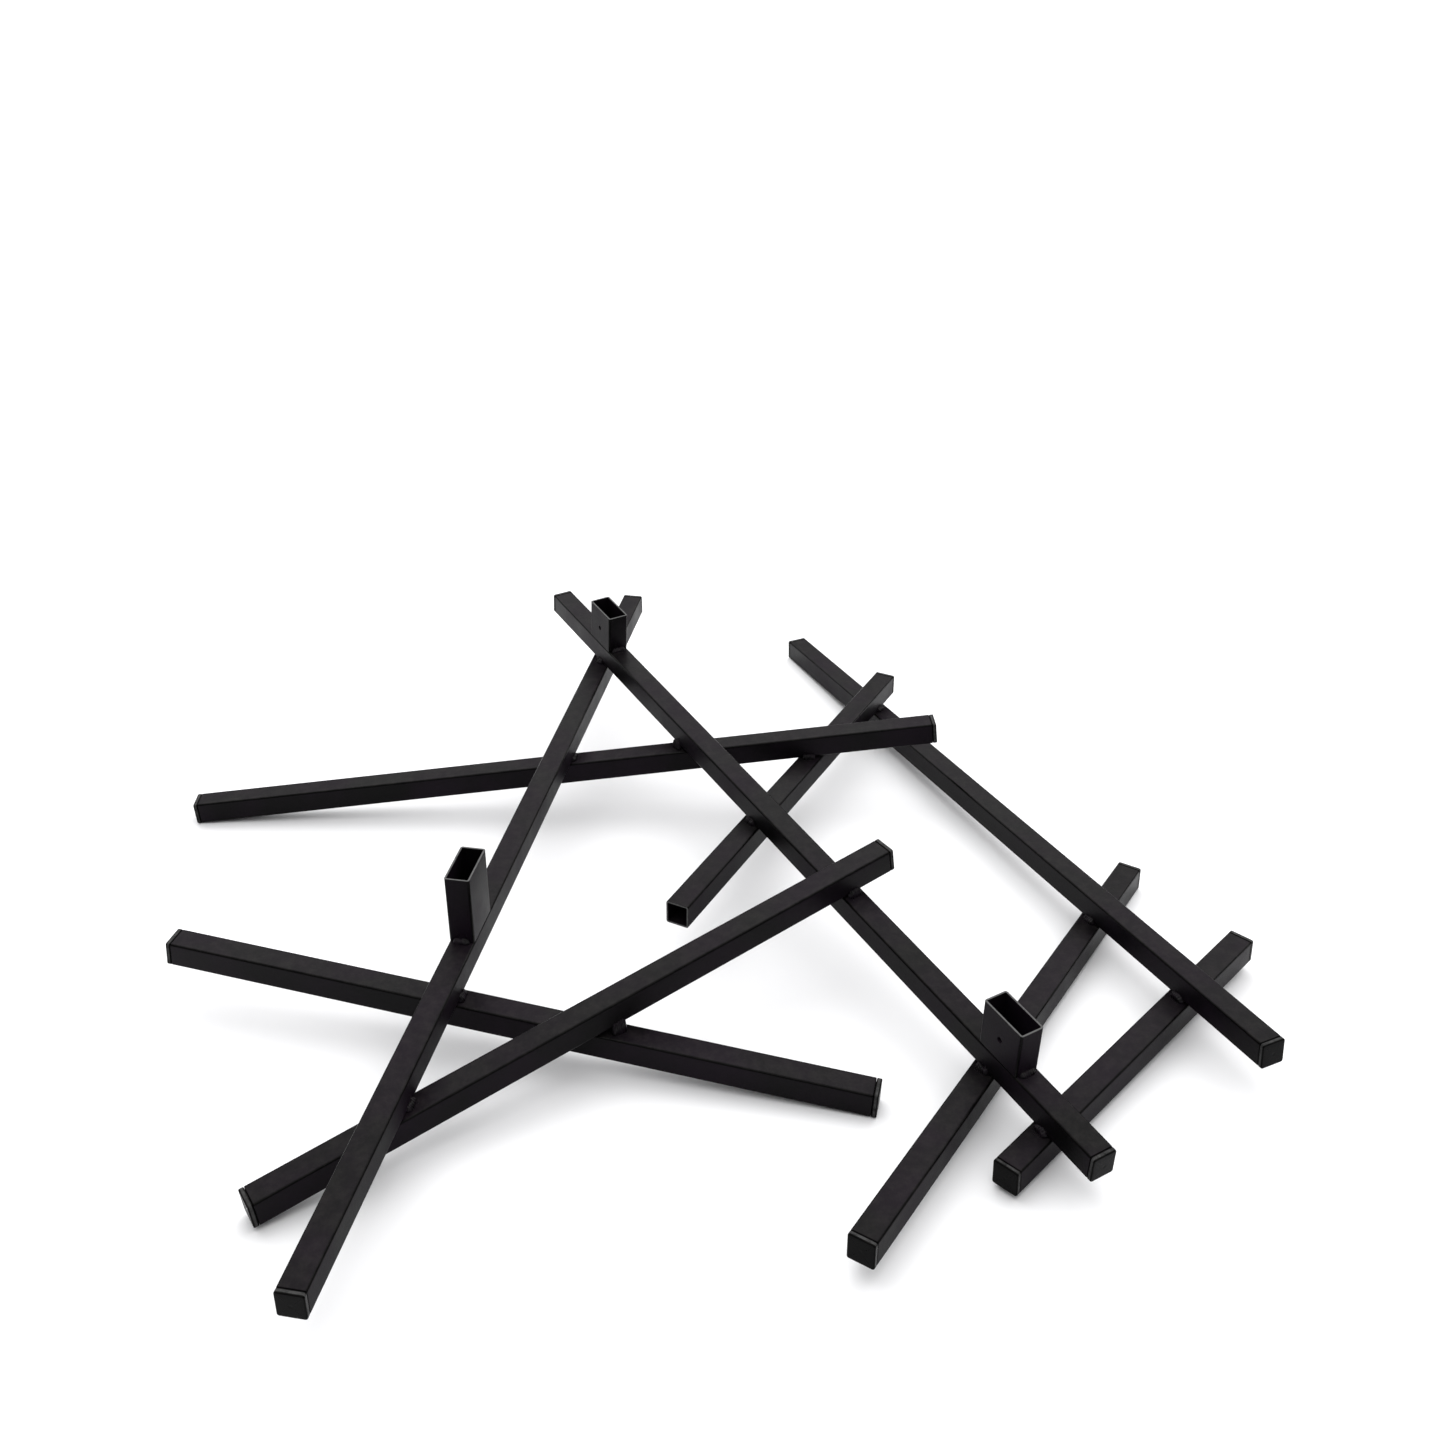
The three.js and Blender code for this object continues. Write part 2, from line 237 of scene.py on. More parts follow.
def rounded_end(width, height, wall, corner, z, outward, capped):
    """Rings over the rounded cut end of a tube, from its outside to its bore. outward is +1 at
    the end with the greater z."""
    bore = bore_corner(corner, wall)
    cut = CAPPED_EDGE if capped else CUT_EDGE
    # A lighter rim at the cut end: thinner coat and a painted highlight.
    wear_and_painted_light = CAPPED_RIM_WEAR_AND_HIGHLIGHT if capped else OPEN_RIM_WEAR_AND_HIGHLIGHT
    rings = []
    for step in range(EDGE_STEPS + 1):
        turn = step / EDGE_STEPS * math.pi / 2
        inset = cut * (1 - math.cos(turn))
        back = cut * (1 - math.sin(turn))
        size = (width - 2 * inset, height - 2 * inset, corner - inset, z - outward * back)
        rings.append(ring_points(*size, wear_and_painted_light * math.sin(turn)))
    for step in range(EDGE_STEPS + 1):
        turn = (1 - step / EDGE_STEPS) * math.pi / 2
        inset = wall - cut * (1 - math.cos(turn))
        back = cut * (1 - math.sin(turn))
        round_in = bore + cut * (1 - math.cos(turn))
        size = (width - 2 * inset, height - 2 * inset, round_in, z - outward * back)
        seam = SEAM_HEIGHT * (1 - step / EDGE_STEPS)
        rings.append(ring_points(*size, wear_and_painted_light * math.sin(turn), seam, corner_wear_and_shade=0.0))
    return rings


def bore_corner(corner, wall):
    return max(corner - wall, LEAST_BORE_CORNER)


def tube_mesh(width, height, wall, corner, length, capped):
    """A length of rectangular tube along Z around the origin, with rounded cut ends. capped
    says for the far and the near end whether a cap goes in."""
    far = rounded_end(width, height, wall, corner, length / 2, 1, capped[0])
    near = rounded_end(width, height, wall, corner, -length / 2, -1, capped[1])
    return skin(far + near[::-1], closed=True)


def flip_if_inside_out(mesh):
    work = bmesh.new()
    work.from_mesh(mesh)
    bmesh.ops.recalc_face_normals(work, faces=work.faces)
    work.to_mesh(mesh)
    work.free()
    return mesh


def finish_piece(name, mesh, lie, node, material):
    """Puts a mesh in its place as a piece of the rack that stands for a CAD node."""
    mesh.transform(lie)
    mesh.name = name
    piece = bpy.data.objects.new(name, mesh)
    bpy.context.scene.collection.objects.link(piece)
    mesh.materials.clear()
    mesh.materials.append(material)
    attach(piece, "root")
    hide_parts(node)
    return piece


# ------------------------------------------------------------------ node helpers

def socket_in(tree, name, kind, value=None):
    """Adds a named input to a node tree, with the value that it starts from."""
    made = tree.interface.new_socket(name, in_out="INPUT", socket_type=kind)
    if value is not None:
        made.default_value = value
    return made


def socket_out(tree, name, kind):
    return tree.interface.new_socket(name, in_out="OUTPUT", socket_type=kind)


def feed(tree, target, source):
    """Sets a socket to a value, or links it to another socket."""
    if isinstance(source, bpy.types.NodeSocket):
        tree.links.new(source, target)
    else:
        target.default_value = source


def node(tree, kind, inputs=None, **settings):
    """Adds a node, sets its properties, and feeds its inputs by name or number."""
    made = tree.nodes.new(kind)
    for key, value in settings.items():
        setattr(made, key, value)
    for key, source in (inputs or {}).items():
        feed(tree, made.inputs[key], source)
    return made


def maths(tree, operation, *values, clamp=False):
    """The result of one operation on values or sockets."""
    made = tree.nodes.new("ShaderNodeMath")
    made.operation = operation
    made.use_clamp = clamp
    for slot, value in zip(made.inputs, values):
        feed(tree, slot, value)
    return made.outputs[0]


def ramp(tree, value, low, high, to_low=0.0, to_high=1.0, smooth=True):
    """A value carried from one range to another, and held at its ends."""
    made = tree.nodes.new("ShaderNodeMapRange")
    made.interpolation_type = "SMOOTHSTEP" if smooth else "LINEAR"
    for slot, source in zip(made.inputs, (value, low, high, to_low, to_high)):
        feed(tree, slot, source)
    return made.outputs[0]


def blend_colours(tree, share, first, second):
    made = tree.nodes.new("ShaderNodeMix")
    made.data_type = "RGBA"
    feed(tree, made.inputs[0], share)
    feed(tree, made.inputs[6], first)
    feed(tree, made.inputs[7], second)
    return made.outputs[2]


# ------------------------------------------------------------------ shared finishes

def coat_skin_group():
    """The skin of a stoved coat or a moulding: fine grain, a soft orange peel and slow patches
    in tone. Height is for a Bump node; Patches and Grain run from 0 to 1."""
    tree = bpy.data.node_groups.new("coat_skin", "ShaderNodeTree")
    socket_in(tree, "Position", "NodeSocketVector")
    socket_in(tree, "Grain Size", "NodeSocketFloat", 0.6 * MM)
    socket_in(tree, "Peel Size", "NodeSocketFloat", 3 * MM)
    socket_in(tree, "Patch Size", "NodeSocketFloat", 45 * MM)
    socket_in(tree, "Grain Share", "NodeSocketFloat", 0.5)
    socket_out(tree, "Height", "NodeSocketFloat")
    socket_out(tree, "Patches", "NodeSocketFloat")
    socket_out(tree, "Grain", "NodeSocketFloat")
    given = tree.nodes.new("NodeGroupInput").outputs
    result = tree.nodes.new("NodeGroupOutput").inputs

    def noise(size, detail, roughness):
        scale = maths(tree, "DIVIDE", 1.0, size)
        inputs = {"Vector": given["Position"], "Scale": scale, "Detail": detail, "Roughness": roughness}
        return node(tree, "ShaderNodeTexNoise", inputs).outputs["Fac"]

    grain = noise(given["Grain Size"], 3.0, 0.6)
    peel = noise(given["Peel Size"], 1.0, 0.4)
    patches = noise(given["Patch Size"], 3.0, 0.55)
    fine = maths(tree, "MULTIPLY", grain, given["Grain Share"])
    rest = maths(tree, "SUBTRACT", 1.0, given["Grain Share"])
    soft = maths(tree, "MULTIPLY", peel, rest)
    feed(tree, result["Height"], maths(tree, "ADD", fine, soft))
    feed(tree, result["Patches"], ramp(tree, patches, 0.3, 0.7))
    feed(tree, result["Grain"], ramp(tree, grain, 0.3, 0.75))
    return tree


EDGE_BREAK = 0.9  # how far noise shifts an edge value, up and down together
EDGE_START = 1.25  # edge value at which a coat with no reach begins to thin and take its painted highlight
EDGE_BLUR = 0.5  # how much further the thinning and the painted highlight are whole


def thin_and_lit_edges_group():
    """Where a coat has drawn back from an edge and where a painted highlight lies along it: the piece's
    own edge value, broken up.
    """
    tree = bpy.data.node_groups.new("thin_and_lit_edges", "ShaderNodeTree")
    socket_in(tree, "Position", "NodeSocketVector")
    socket_in(tree, "Edge", "NodeSocketFloat", 0.0)
    socket_in(tree, "Reach", "NodeSocketFloat", 0.5)
    socket_in(tree, "Break Size", "NodeSocketFloat", 5 * MM)
    socket_out(tree, "Mask", "NodeSocketFloat")
    given = tree.nodes.new("NodeGroupInput").outputs
    result = tree.nodes.new("NodeGroupOutput").inputs
    scale = maths(tree, "DIVIDE", 1.0, given["Break Size"])
    inputs = {"Vector": given["Position"], "Scale": scale, "Detail": 4.0, "Roughness": 0.65}
    broken = node(tree, "ShaderNodeTexNoise", inputs).outputs["Fac"]
    shift = maths(tree, "MULTIPLY_ADD", broken, EDGE_BREAK, -EDGE_BREAK / 2)
    raised = maths(tree, "ADD", given["Edge"], shift)
    low = maths(tree, "SUBTRACT", EDGE_START, given["Reach"])
    high = maths(tree, "ADD", low, EDGE_BLUR)
    feed(tree, result["Mask"], ramp(tree, raised, low, high))
    return tree


DRIFT_SIZE = 11 * MM  # size of the clouds that dust settles in


def settled_dust_group():
    """A thin film of dust on what faces up."""
    tree = bpy.data.node_groups.new("settled_dust", "ShaderNodeTree")
    socket_in(tree, "Position", "NodeSocketVector")
    socket_in(tree, "Normal", "NodeSocketVector")
    socket_in(tree, "Amount", "NodeSocketFloat", 0.1)
    socket_out(tree, "Mask", "NodeSocketFloat")
    given = tree.nodes.new("NodeGroupInput").outputs
    result = tree.nodes.new("NodeGroupOutput").inputs
    up = node(tree, "ShaderNodeSeparateXYZ", {"Vector": given["Normal"]}).outputs["Z"]
    facing = ramp(tree, up, 0.3, 0.95)
    scale = 1 / DRIFT_SIZE
    inputs = {"Vector": given["Position"], "Scale": scale, "Detail": 6.0, "Roughness": 0.75}
    drift = node(tree, "ShaderNodeTexNoise", inputs).outputs["Fac"]
    share = maths(tree, "MULTIPLY", facing, ramp(tree, drift, 0.35, 0.75))
    feed(tree, result["Mask"], maths(tree, "MULTIPLY", share, given["Amount"], clamp=True))
    return tree


groups = {
    "coat_skin": coat_skin_group(),
    "thin_and_lit_edges": thin_and_lit_edges_group(),
    "settled_dust": settled_dust_group(),
}


def place_group(tree, name, **inputs):
    made = tree.nodes.new("ShaderNodeGroup")
    made.node_tree = groups[name]
    for key, source in inputs.items():
        feed(tree, made.inputs[key.replace("_", " ")], source)
    return made.outputs


DUST_ROUGHNESS = 0.3  # how much rougher a full film of dust makes a finish


def coated_material(name, look):
    """A dark finish: two tones in slow patches, corners painted darker as shade and made smoother, rims
    painted lighter as a thinner coat and as a highlight, dust on top, and its own grain. look holds the
    numbers that set one finish apart from another."""
    material = bpy.data.materials.new(name)
    material.use_nodes = True
    tree = material.node_tree
    shader = tree.nodes["Principled BSDF"]
    position = node(tree, "ShaderNodeTexCoord").outputs["Object"]
    normal = node(tree, "ShaderNodeNewGeometry").outputs["Normal"]
    edge = node(tree, "ShaderNodeAttribute", attribute_name="edge").outputs["Fac"]

    surface = place_group(
        tree, "coat_skin", Position=position, Grain_Size=look["grain"], Peel_Size=look["peel"],
        Patch_Size=look["patch"], Grain_Share=look["grain_share"],
    )
    edges = place_group(tree, "thin_and_lit_edges", Position=position, Edge=edge, Reach=look["edge_reach"])
    film = place_group(tree, "settled_dust", Position=position, Normal=normal, Amount=look["dust"])
    thin_and_lit = edges["Mask"]
    dust = film["Mask"]

    tone = blend_colours(tree, surface["Patches"], look["dark"], look["light"])
    speck = maths(tree, "MULTIPLY", surface["Grain"], look["speckle"])
    tone = blend_colours(tree, speck, tone, look["speck"])
    # Painted shade: the middle of each rounded corner takes the darker corner tone.
    corner = ramp(tree, edge, 0.0, CORNER_WEAR_AND_SHADE)
    tone = blend_colours(tree, corner, tone, look["corner"])
    # Lighter rims in the edge tone: partly a thinner coat, partly a painted highlight.
    bare_and_lit = maths(tree, "MULTIPLY", thin_and_lit, look["edge_share"])
    tone = blend_colours(tree, bare_and_lit, tone, look["edge"])
    tone = blend_colours(tree, dust, tone, look["dust_tone"])
    feed(tree, shader.inputs["Base Color"], tone)

    rough = ramp(tree, surface["Patches"], 0.0, 1.0, *look["rough"], smooth=False)
    rough = maths(tree, "ADD", rough, maths(tree, "MULTIPLY", dust, DUST_ROUGHNESS))
    corner_polish = maths(tree, "MULTIPLY", corner, look["corner_polish"])
    rough = maths(tree, "SUBTRACT", rough, corner_polish)
    edge_polish = maths(tree, "MULTIPLY", thin_and_lit, look["edge_polish"])
    rough = maths(tree, "SUBTRACT", rough, edge_polish, clamp=True)
    feed(tree, shader.inputs["Roughness"], rough)

    inputs = {"Height": surface["Height"], "Distance": look["relief"], "Strength": 1.0}
    feed(tree, shader.inputs["Normal"], node(tree, "ShaderNodeBump", inputs).outputs["Normal"])
    shader.inputs["Specular IOR Level"].default_value = look["specular"]
    return material


def grey(value, warmth=0.0):
    """A near-neutral colour, a little purple for a positive warmth."""
    return (value * (1 + warmth), value * (1 - warmth), value * (1 + warmth), 1.0)


# What a finish needs: the two tones of its patches and those of its corners (a painted shade), specks
# and thin edges (a thinner coat with a painted highlight), how much of the specks and edges shows, how
# much smoother corners and edges are, the dust, the least and greatest roughness, and the sizes of the
# skin's grain, peel and patches.
COAT = {
    "dark": grey(0.0014, 0.04), "light": (0.0060, 0.0034, 0.0066, 1.0),
    # corner is a painted shade on rounded corners.
    "corner": grey(0.0005), "corner_polish": 0.2,
    "speck": grey(0.02, 0.05), "speckle": 0.12,
    # edge is the lighter rim tone: thinner coat and painted highlight.
    "edge": grey(0.10), "edge_share": 0.85, "edge_reach": 0.7, "edge_polish": 0.06,
    "dust": 0.02, "dust_tone": (0.35, 0.32, 0.29, 1.0),
    "rough": (0.38, 0.5), "specular": 0.055,
    "grain": 0.5 * MM, "grain_share": 0.4, "peel": 2.4 * MM, "patch": 70 * MM, "relief": 0.12 * MM,
}
WELD_COAT = {**COAT, "rough": (0.3, 0.46), "patch": 6 * MM, "edge_share": 0.0, "specular": 0.12}
PLASTIC = {
    **COAT, "dark": grey(0.0014), "light": grey(0.0026), "speckle": 0.06,
    # The moulding's lighter rims and flange sides: scuffing and a painted sheen.
    "edge": grey(0.055), "edge_share": 0.8, "rough": (0.32, 0.42), "specular": 0.03,
    "grain": 0.3 * MM, "grain_share": 0.7, "patch": 9 * MM, "relief": 0.04 * MM,
}

materials = {
    "powder_coat": coated_material("black_powder_coat", COAT),
    "weld": coated_material("coated_weld_bead", WELD_COAT),
    "end_cap": coated_material("moulded_black_plastic", PLASTIC),
}


# ------------------------------------------------------------------ tubes

for name, tube in tubes.items():
    capped = (1 in tube["caps"], -1 in tube["caps"])
    mesh = tube_mesh(tube["size"], tube["size"], TUBE_WALL, TUBE_CORNER, tube["length"], capped)
    flip_if_inside_out(mesh)
    finish_piece(f"{name}_steel", mesh, tube["lie"], name, materials["powder_coat"])


# ------------------------------------------------------------------ end caps

def cap_rings(size):
    """Rings of a pressed-in cap from the middle of its end face, over the flange and along the
    hollow plug to the plug's floor. Z = 0 is the cut end of the tube and +Z points out of it."""
    rings = []

    def square(inset, z, wear_and_painted_light=0.0):
        corner = max(TUBE_CORNER - inset, CAP_LEAST_CORNER)
        rings.append(ring_points(size - 2 * inset, size - 2 * inset, corner, z, wear_and_painted_light))

    def disc(radius, z):
        count = len(rounded_rectangle(size, size, TUBE_CORNER))
        turns = [i / count * 2 * math.pi for i in range(count)]
        around = [Vector((radius * math.cos(t), radius * math.sin(t), z)) for t in turns]
        rings.append([(point, 0.0) for point in around])

    # The gate mark, then the crowned face, the flange and the hollow plug.
    disc(GATE_RADIUS * 0.8, CAP_TOP - GATE_DEPTH)
    disc(GATE_RADIUS, CAP_TOP)
    disc(GATE_RADIUS * 1.3, CAP_TOP)
    for share in (0.5, 0.7, 0.85):
        inset = (1 - share) * size / 2
        square(inset, CAP_TOP - CAP_CROWN * share ** 3)
    edge_z = CAP_TOP - CAP_CROWN
    for step in range(EDGE_STEPS * 2 + 1):
        turn = step / (EDGE_STEPS * 2) * math.pi / 2
        # Painted shade: the middle of the flange's rounded outer edge takes the darker corner tone.
        arc_wear_and_shade = CORNER_WEAR_AND_SHADE * math.sin(2 * turn)
        square(CAP_NOSE * (1 - math.sin(turn)), edge_z - CAP_NOSE * (1 - math.cos(turn)), arc_wear_and_shade)
    # The flange's sides are painted lighter: scuffing and a painted sheen.
    square(0, edge_z - CAP_NOSE - SCUFF_AND_SHEEN_EDGE, SCUFF_AND_SHEEN)
    square(0, TOUCH_GAP + CAP_SEAM + SCUFF_AND_SHEEN_EDGE, SCUFF_AND_SHEEN)
    # Painted shade: the rounding down to the seam takes the darker corner tone all round, as a dark
    # seam line.
    for step in range(EDGE_STEPS + 1):
        turn = step / EDGE_STEPS * math.pi / 2
        inset = CAP_SEAM * (1 - math.cos(turn))
        square(inset, TOUCH_GAP + CAP_SEAM * (1 - math.sin(turn)), CORNER_WEAR_AND_SHADE)
    plug = TUBE_WALL + CAP_FIT + CAP_RIB_HEIGHT
    square(plug, TOUCH_GAP)
    square(plug, -CAP_PLUG + CUT_EDGE)
    square(plug + CUT_EDGE, -CAP_PLUG)
    square(plug + CAP_WALL, -CAP_PLUG)
    square(plug + CAP_WALL, TOUCH_GAP)
    return rings


def rib_tree():
    """Geometry Nodes: square rings in a row along Z, as the ribs that hold a plug."""
    tree = bpy.data.node_groups.new("plug_ribs", "GeometryNodeTree")
    tree.interface.new_socket("Geometry", in_out="INPUT", socket_type="NodeSocketGeometry")
    socket_in(tree, "Count", "NodeSocketInt", CAP_RIBS)
    socket_in(tree, "Pitch", "NodeSocketFloat", CAP_PLUG / CAP_RIBS)
    socket_in(tree, "Size", "NodeSocketFloat", 20 * MM)
    socket_in(tree, "Width", "NodeSocketFloat", CAP_RIB_WIDTH)
    socket_in(tree, "Height", "NodeSocketFloat", CAP_RIB_HEIGHT)
    socket_in(tree, "Corner", "NodeSocketFloat", CAP_WALL)
    tree.interface.new_socket("Material", in_out="INPUT", socket_type="NodeSocketMaterial")
    tree.interface.new_socket("Geometry", in_out="OUTPUT", socket_type="NodeSocketGeometry")
    given = tree.nodes.new("NodeGroupInput").outputs
    result = tree.nodes.new("NodeGroupOutput").inputs

    reach = maths(tree, "SUBTRACT", given["Size"], given["Height"])
    path = node(tree, "GeometryNodeCurvePrimitiveQuadrilateral", {"Width": reach, "Height": reach})
    inputs = {"Curve": path.outputs[0], "Radius": given["Corner"]}
    rounded = node(tree, "GeometryNodeFilletCurve", inputs, mode="POLY")
    rounded.inputs["Count"].default_value = RIB_CORNER_STEPS
    inputs = {"Width": given["Height"], "Height": given["Width"]}
    section = node(tree, "GeometryNodeCurvePrimitiveQuadrilateral", inputs)
    inputs = {"Curve": rounded.outputs[0], "Profile Curve": section.outputs[0]}
    ring = node(tree, "GeometryNodeCurveToMesh", inputs).outputs[0]

    back = maths(tree, "MULTIPLY", given["Pitch"], -1.0)
    half = maths(tree, "MULTIPLY", back, 0.5)
    first = node(tree, "ShaderNodeCombineXYZ", {"Z": half}).outputs[0]
    step = node(tree, "ShaderNodeCombineXYZ", {"Z": back}).outputs[0]
    inputs = {"Count": given["Count"], "Start Location": first, "Offset": step}
    row = node(tree, "GeometryNodeMeshLine", inputs).outputs[0]
    placed = node(tree, "GeometryNodeInstanceOnPoints", {"Points": row, "Instance": ring}).outputs[0]
    real = node(tree, "GeometryNodeRealizeInstances", {0: placed}).outputs[0]
    inputs = {"Geometry": real, "Material": given["Material"]}
    feed(tree, result[0], node(tree, "GeometryNodeSetMaterial", inputs).outputs[0])
    return tree


def grown(tree, name, **inputs):
    """The plain mesh that a Geometry Nodes tree makes with these inputs."""
    carrier = bpy.data.objects.new(name, bpy.data.meshes.new(name))
    bpy.context.scene.collection.objects.link(carrier)
    modifier = carrier.modifiers.new(name, "NODES")
    modifier.node_group = tree
    sockets = {s.name: s.identifier for s in tree.interface.items_tree if s.in_out == "INPUT"}
    for key, value in inputs.items():
        modifier[sockets[key.replace("_", " ")]] = value
    seen = carrier.evaluated_get(bpy.context.evaluated_depsgraph_get())
    mesh = bpy.data.meshes.new_from_object(seen)
    bpy.data.objects.remove(carrier)
    return mesh


def joined(meshes):
    """Several meshes as one, each keeping its own closed surface."""
    work = bmesh.new()
    for mesh in meshes:
        work.from_mesh(mesh)
    whole = bpy.data.meshes.new("joined")
    work.to_mesh(whole)
    work.free()
    whole.polygons.foreach_set("use_smooth", [True] * len(whole.polygons))
    return whole


rib_rows = rib_tree()


def add_cap(name, tube, outward):
    """Makes the cap in one end of a tube; outward is +1 at the far end and -1 at the near one."""
    end = Matrix.Translation((0, 0, outward * tube["length"] / 2))
    if outward < 0:
        end = end @ Matrix.Rotation(math.pi, 4, "Y")
    poles = [Vector((0, 0, CAP_TOP - GATE_DEPTH)), Vector((0, 0, TOUCH_GAP))]
    body = skin(cap_rings(tube["size"]), poles=poles)
    flip_if_inside_out(body)
    plastic = materials["end_cap"]
    size = tube["size"] - 2 * TUBE_WALL - 2 * CAP_FIT
    ribs = grown(rib_rows, "ribs", Size=size, Material=plastic)
    flip_if_inside_out(ribs)
    cap = joined([body, ribs])
    finish_piece(f"{name}_insert", cap, tube["lie"] @ end, name, plastic)


for tube in tubes.values():
    for outward, name in tube["caps"].items():
        add_cap(name, tube, outward)


# ------------------------------------------------------------------ sockets

def drill_mesh(radius, depth, flare):
    """A drill along Z with a shoulder that flares out to a rounded rim at Z = 0."""
    profile = [(radius, -depth), (radius, -flare)]
    for step in range(1, EDGE_STEPS + 1):
        turn = step / EDGE_STEPS * math.pi / 2
        profile.append((radius + flare * (1 - math.cos(turn)), -flare * (1 - math.sin(turn))))
    profile.append((radius + flare, depth))
    work = bmesh.new()
    rings = []
    turns = [i / HOLE_STEPS * 2 * math.pi for i in range(HOLE_STEPS)]
    for reach, z in profile:
        around = [(reach * math.cos(t), reach * math.sin(t), z) for t in turns]
        rings.append([work.verts.new(point) for point in around])
    for low, high in zip(rings, rings[1:]):
        for i in range(HOLE_STEPS):
            j = (i + 1) % HOLE_STEPS
            work.faces.new((low[i], low[j], high[j], high[i]))
    work.faces.new(rings[0][::-1])
    work.faces.new(rings[-1])
    mesh = bpy.data.meshes.new("drill")
    work.to_mesh(mesh)
    work.free()
    return mesh


def drilled(mesh, radius, height, side, face):
    """Cuts a round hole with a rounded rim through one long wall, and keeps the walls flat.
    face is how far the wall's outside is from the middle, and side is +1 or -1 along X."""
    tool_mesh = drill_mesh(radius, 3 * SOCKET_WALL, CUT_EDGE)
    sideways = Matrix.Rotation(side * math.pi / 2, 4, "Y")
    tool_mesh.transform(Matrix.Translation((side * face, 0, height)) @ sideways)
    tool = bpy.data.objects.new("drill", tool_mesh)
    work = bpy.data.objects.new("work", mesh)
    for made in (tool, work):
        bpy.context.scene.collection.objects.link(made)
    cut = work.modifiers.new("cut", "BOOLEAN")
    cut.operation = "DIFFERENCE"
    cut.solver = "EXACT"
    cut.object = tool
    seen = work.evaluated_get(bpy.context.evaluated_depsgraph_get())
    result = bpy.data.meshes.new_from_object(seen)
    for made in (tool, work):
        bpy.data.objects.remove(made)
    edges = result.attributes["edge"].data
    for vertex in result.vertices:
        if math.hypot(vertex.co.y, vertex.co.z - height) < radius + 2 * CUT_EDGE:
            edges[vertex.index].value = 0.0
    walls = [face, face - SOCKET_WALL]
    for polygon in result.polygons:
        on_wall = any(abs(side * polygon.center.x - wall) < SAME_PLANE for wall in walls)
        polygon.use_smooth = not (on_wall and abs(polygon.normal.x) > 0.999)
    return result


def tube_under(name):
    """The tube that a socket stands on: its foot is on that tube's top, over its middle line."""

    def apart(tube):
        low, high = span_of(name, tube["lie"])
        return abs(low.y - tube["size"] / 2 - TOUCH_GAP) + abs(low.x + high.x)

    return min(tubes.values(), key=apart)


def add_socket(name):
    """Makes a socket, and gives its tube and where its corners lie on that tube."""
    tube = tube_under(name)
    low, high = span_of(name, tube["lie"])
    size = high - low
    foot = Matrix.Translation(((low.x + high.x) / 2, low.y, (low.z + high.z) / 2))
    lie = tube["lie"] @ foot @ Matrix.Rotation(-math.pi / 2, 4, "X")
    wall_axis = Vector(mounts[f"{name}_screw_wall"]["axis"])
    side = 1 if wall_axis.dot(axis_of(tube["lie"], 0)) > 0 else -1
    mesh = tube_mesh(size.x, size.z, SOCKET_WALL, SOCKET_CORNER, size.y, (False, False))
    mesh.transform(Matrix.Translation((0, 0, size.y / 2)))
    flip_if_inside_out(mesh)
    mesh = drilled(mesh, SCREW_HOLE / 2, SCREW_HEIGHT, side, size.x / 2)
    finish_piece(f"{name}_sleeve", mesh, lie, name, materials["powder_coat"])
    return tube, low, high


socket_names = sorted(n for n in frame["nodes"] if n.endswith("_socket"))
sockets = {name: add_socket(name) for name in socket_names}


# ------------------------------------------------------------------ welds

SEED_STRIDE = 7.31  # how far apart two beads are in the noise that gives their lumps
DRAW_STRIDE = 100  # sets the seeds of a drop's several draws apart
SPATTER_SEEDS = {"below": 11, "behind": 23}  # and those of the drops on the two faces


